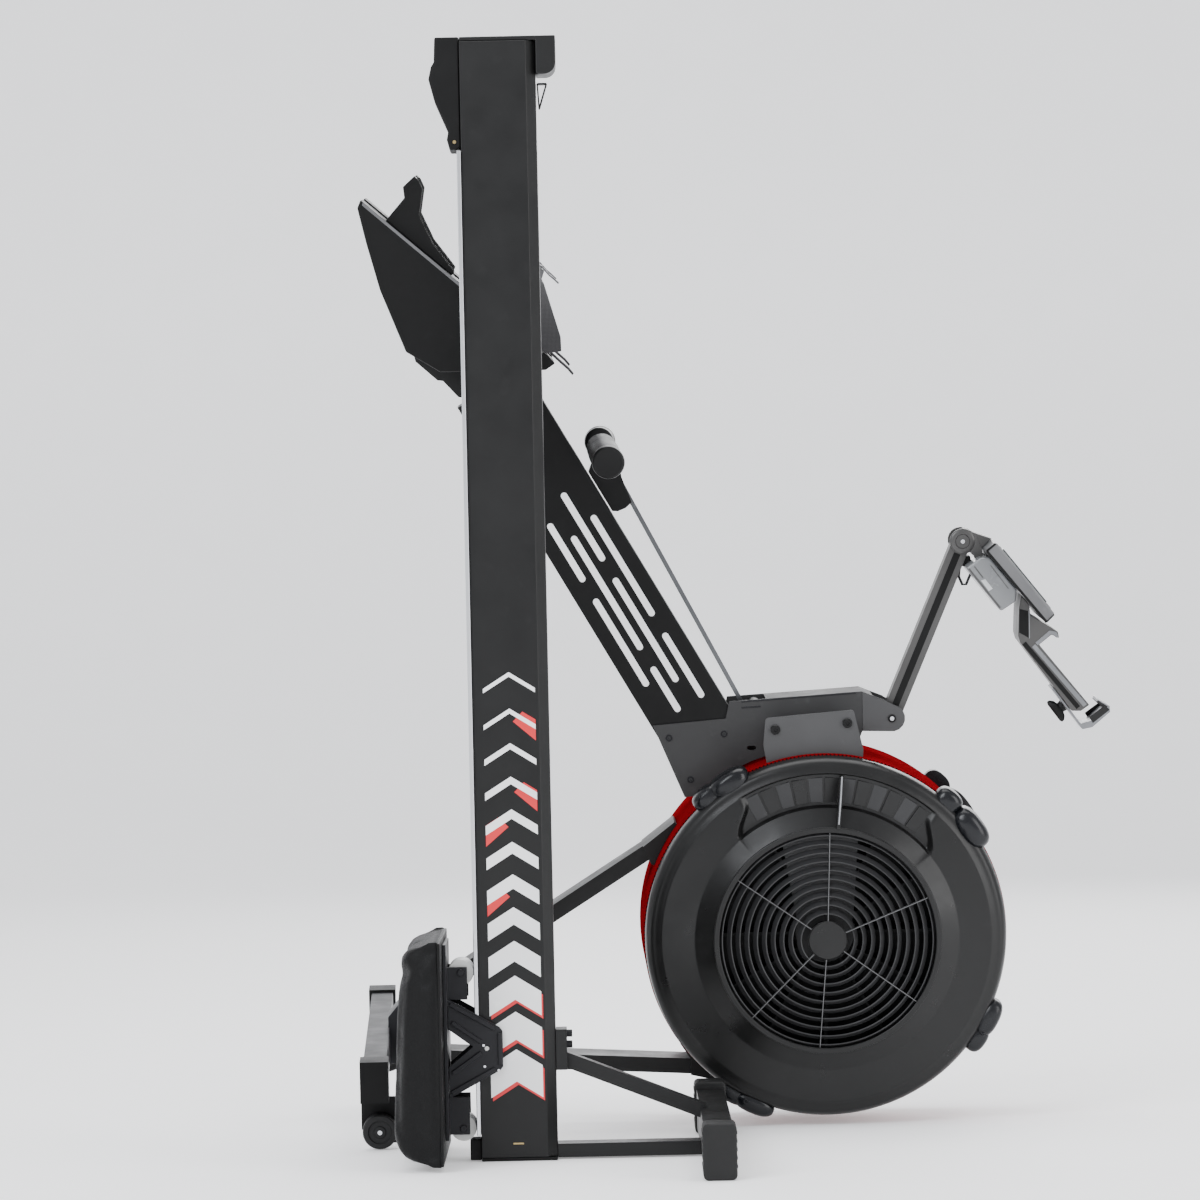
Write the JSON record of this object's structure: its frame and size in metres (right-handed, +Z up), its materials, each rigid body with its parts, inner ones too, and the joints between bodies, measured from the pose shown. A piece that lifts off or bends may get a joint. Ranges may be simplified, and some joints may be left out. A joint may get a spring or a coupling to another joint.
{
  "type": "rowing machine",
  "caption": "Upright-stored air rowing machine: rail with sliding seat, nested drive half with caged fan, chain handle, foot rests and folding console.",
  "frame": {"origin": "centre of the bounding box footprint, on the floor", "axes": "+Z up along the rail, +X towards the console, -Y towards the side with the seat rail"},
  "size_m": [0.992, 1.0202, 1.3855],
  "materials": {
    "black_paint": "satin black powder coat",
    "dark_steel": "dark grey satin coat",
    "chain_steel": "nickel-plated chain steel",
    "stainless": "brushed stainless steel",
    "chrome": "polished",
    "grey_paint": "satin grey powder coat",
    "black_plastic": "matte black",
    "grey_plastic": "satin grey",
    "clear_grey_plastic": "translucent light grey",
    "white_plastic": "satin white",
    "red_plastic": "gloss red",
    "rubber": "matte black",
    "seat_cover": "black synthetic leather over foam",
    "webbing": "woven black webbing",
    "aluminium": "satin aluminium",
    "screen_glass": "gloss dark screen"
  },
  "bodies": {
    "seat_half": {"rail_beam": "black_paint", "rail_track": "stainless", "rail_end_cap": "black_plastic", "rail_head": "dark_steel", "front_stop": "black_plastic", "rear_stop": "rubber", "rear_leg": "black_paint", "rear_foot_near": "rubber", "rear_foot_far": "rubber"},
    "latch": {"frame_latch": "black_plastic"},
    "seat": {"seat_cushion": "seat_cover", "seat_carriage": "dark_steel", "carriage_side_near": "dark_steel", "carriage_side_far": "dark_steel"},
    "roller_upper": {"seat_roller_upper": "white_plastic"},
    "roller_lower": {"seat_roller_lower": "white_plastic"},
    "guide_near": {"guide_roller_near": "white_plastic"},
    "guide_far": {"guide_roller_far": "white_plastic"},
    "drive_half": {"main_beam": "black_paint", "fan_frame": "dark_steel", "chain_guide": "black_plastic", "drive_chain": "chain_steel", "mount_plate_near": "dark_steel", "mount_plate_far": "dark_steel", "axle_bearing_near": "stainless", "axle_bearing_far": "stainless", "cover_near": "black_plastic", "cover_far": "black_plastic", "air_ring": "red_plastic", "leg_upper": "black_paint", "leg_lower": "black_paint", "front_foot_bar": "grey_paint", "front_foot_near": "black_plastic", "front_foot_far": "black_plastic", "handle_holder": "black_plastic", "foot_bracket": "black_paint", "foot_plate_near": "black_plastic", "foot_plate_far": "black_plastic", "foot_strap_near": "webbing", "foot_strap_far": "webbing", "handle_chain": "chain_steel"},
    "flywheel": {"flywheel_axle": "stainless", "fan_wheel": "black_plastic", "drive_sprocket": "chain_steel"},
    "damper": {"damper_lever": "black_plastic"},
    "wheel_near": {"transport_wheel_near": "rubber"},
    "wheel_far": {"transport_wheel_far": "rubber"},
    "handle": {"handle_bar": "chrome", "grip_near": "rubber", "grip_far": "rubber"},
    "heel_near": {"heel_cup_near": "black_plastic"},
    "heel_far": {"heel_cup_far": "black_plastic"},
    "arm": {"console_arm": "grey_paint"},
    "console": {"head_bracket": "black_plastic", "display_housing": "grey_plastic", "display_screen": "screen_glass", "battery_box": "clear_grey_plastic", "tablet_holder": "aluminium"},
    "clamp": {"tablet_clamp": "aluminium"},
    "knob": {"clamp_knob": "black_plastic"}
  },
  "joints": [
    {"name": "latch_turn", "type": "hinge", "parent": "seat_half", "child": "latch", "pos_m": [-0.23086, -0.21008, 1.3], "axis": [0, 1, 0], "range_deg": [0, 15], "stiffness_Nm_per_rad": 0.05, "springref_deg": -11.46},
    {"name": "seat_slide", "type": "slide", "parent": "seat_half", "child": "seat", "axis": [0, 0, 1], "range_m": [0, 0.95]},
    {"name": "roller_upper_spin", "type": "hinge", "parent": "seat", "child": "roller_upper", "pos_m": [-0.34966, -0.21008, 0.233], "axis": [0, 1, 0], "continuous": true},
    {"name": "roller_lower_spin", "type": "hinge", "parent": "seat", "child": "roller_lower", "pos_m": [-0.34966, -0.21008, 0.0415], "axis": [0, 1, 0], "continuous": true},
    {"name": "guide_near_spin", "type": "hinge", "parent": "seat", "child": "guide_near", "pos_m": [-0.31906, -0.24558, 0.14], "axis": [0, 1, 0], "continuous": true},
    {"name": "guide_far_spin", "type": "hinge", "parent": "seat", "child": "guide_far", "pos_m": [-0.31906, -0.17458, 0.14], "axis": [0, 1, 0], "continuous": true},
    {"name": "drive_half_part", "type": "slide", "parent": "seat_half", "child": "drive_half", "axis": [0, 1, 0], "range_m": [0, 0.3]},
    {"name": "flywheel_spin", "type": "hinge", "parent": "drive_half", "child": "flywheel", "pos_m": [0.11355, 0.20351, 0.25503], "axis": [-0.0209, 0.996, 0.0872], "continuous": true},
    {"name": "damper_turn", "type": "hinge", "parent": "drive_half", "child": "damper", "pos_m": [0.11355, 0.20351, 0.25503], "axis": [-0.0209, 0.996, 0.0872], "range_deg": [-33, 33]},
    {"name": "wheel_near_spin", "type": "hinge", "parent": "drive_half", "child": "wheel_near", "pos_m": [-0.46039, -0.06834, 0.023], "axis": [-0.0209, 0.996, 0.0872], "continuous": true},
    {"name": "wheel_far_spin", "type": "hinge", "parent": "drive_half", "child": "wheel_far", "pos_m": [-0.47203, 0.48742, 0.07164], "axis": [-0.0209, 0.996, 0.0872], "continuous": true},
    {"name": "handle_pull", "type": "slide", "parent": "drive_half", "child": "handle", "axis": [0, 0, 1], "range_m": [0, 0.5], "stiffness_N_per_m": 30, "springref_m": -0.4, "deforming": ["handle_chain"]},
    {"name": "heel_near_slide", "type": "slide", "parent": "drive_half", "child": "heel_near", "axis": [0.7543, 0.0729, -0.6525], "range_m": [-0.02, 0.05]},
    {"name": "heel_far_slide", "type": "slide", "parent": "drive_half", "child": "heel_far", "axis": [0.7543, 0.0729, -0.6525], "range_m": [-0.02, 0.05]},
    {"name": "arm_turn", "type": "hinge", "parent": "drive_half", "child": "arm", "pos_m": [0.20873, 0.18153, 0.52898], "axis": [-0.0209, 0.996, 0.0872], "range_deg": [-40, 35]},
    {"name": "console_tilt", "type": "hinge", "parent": "arm", "child": "console", "pos_m": [0.30602, 0.16366, 0.75651], "axis": [-0.0209, 0.996, 0.0872], "range_deg": [-90, 0]},
    {"name": "clamp_slide", "type": "slide", "parent": "console", "child": "clamp", "axis": [0.5899, 0.0826, -0.8032], "range_m": [0, 0.04]},
    {"name": "knob_turn", "type": "hinge", "parent": "clamp", "child": "knob", "pos_m": [0.43662, 0.18555, 0.5376], "axis": [-0.8072, 0.0347, -0.5893], "range_deg": [0, 360]}
  ],
  "couplings": [
    {"joint": "roller_upper_spin", "follows": "seat_slide", "rad_per_m": 62.5},
    {"joint": "roller_lower_spin", "follows": "seat_slide", "rad_per_m": 62.5},
    {"joint": "guide_near_spin", "follows": "seat_slide", "rad_per_m": -111.11},
    {"joint": "guide_far_spin", "follows": "seat_slide", "rad_per_m": -111.11}
  ]
}
